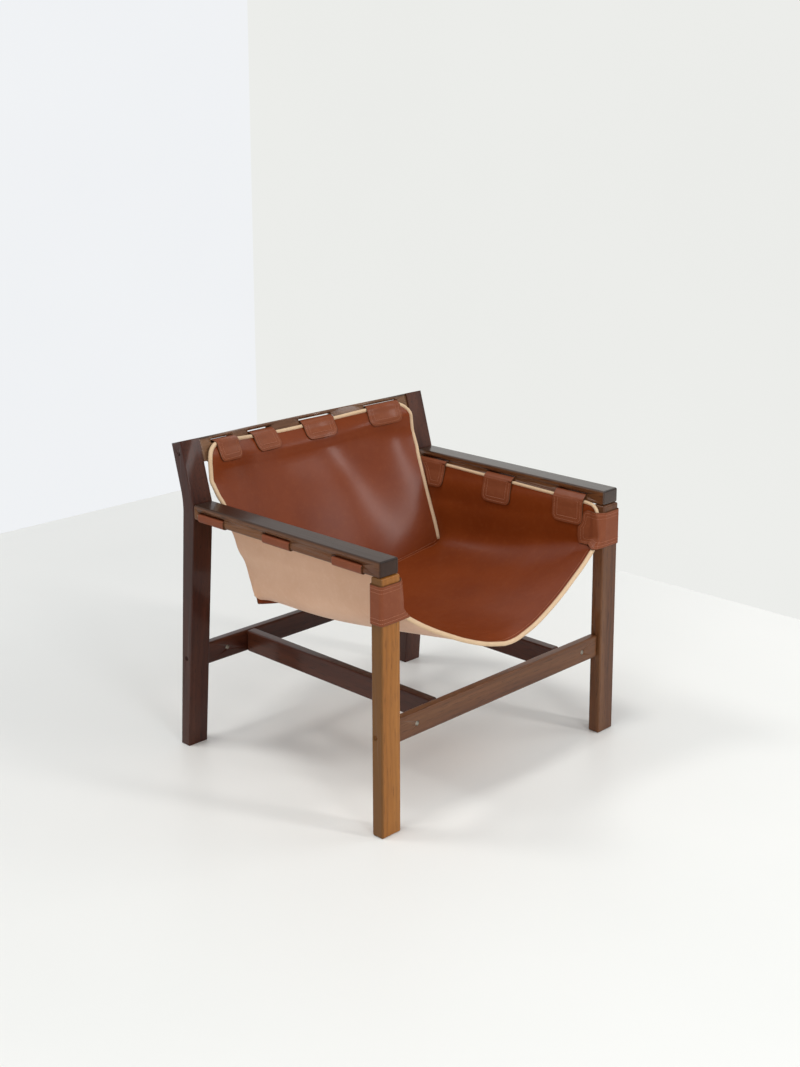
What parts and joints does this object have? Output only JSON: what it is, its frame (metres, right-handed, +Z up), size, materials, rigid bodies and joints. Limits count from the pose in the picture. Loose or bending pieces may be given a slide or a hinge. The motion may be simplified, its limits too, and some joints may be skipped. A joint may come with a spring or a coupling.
{
  "type": "leather sling lounge chair",
  "caption": "Low lounge chair with a leather sling seat and back strapped to a dark hardwood frame with slotted arms and a bowed back rail.",
  "frame": {"origin": "on the floor below the centre of the chair's bounding box", "axes": "+X to the right as seen from the front, +Y from the front edge towards the back, +Z up"},
  "size_m": [0.7058, 0.6866, 0.6614],
  "materials": {
    "wood": "satin lacquer",
    "front_wood": "satin lacquer",
    "leather": "semi-gloss saddle leather",
    "strap_leather": "semi-gloss saddle leather",
    "piping": "natural untreated leather cord",
    "steel": "satin"
  },
  "bodies": {
    "root": {"front_leg_left": "front_wood", "front_leg_right": "wood", "back_post_left": "wood", "arm_left": "wood", "long_rail_left": "wood", "back_post_right": "wood", "arm_right": "wood", "long_rail_right": "wood", "back_rail": "wood", "front_stretcher": "wood", "rear_stretcher": "wood", "front_bolt_left": "steel", "front_nut_left": "steel", "front_bolt_right": "steel", "front_nut_right": "steel", "rear_bolt_left": "steel", "rear_nut_left": "steel", "rear_bolt_right": "steel", "rear_nut_right": "steel", "rail_screw_left": "steel", "rail_screw_right": "steel", "seat_sheet": "leather", "back_sheet": "leather", "seat_piping_left": "piping", "seat_piping_right": "piping", "seat_piping_front": "piping", "back_piping": "piping", "arm_strap_left_1": "strap_leather", "arm_strap_left_2": "strap_leather", "arm_strap_left_3": "strap_leather", "arm_strap_right_1": "strap_leather", "arm_strap_right_2": "strap_leather", "arm_strap_right_3": "strap_leather", "back_strap_1": "strap_leather", "back_strap_2": "strap_leather", "back_strap_3": "strap_leather", "back_strap_4": "strap_leather", "leg_band_left": "strap_leather", "leg_band_right": "strap_leather"}
  },
  "joints": []
}
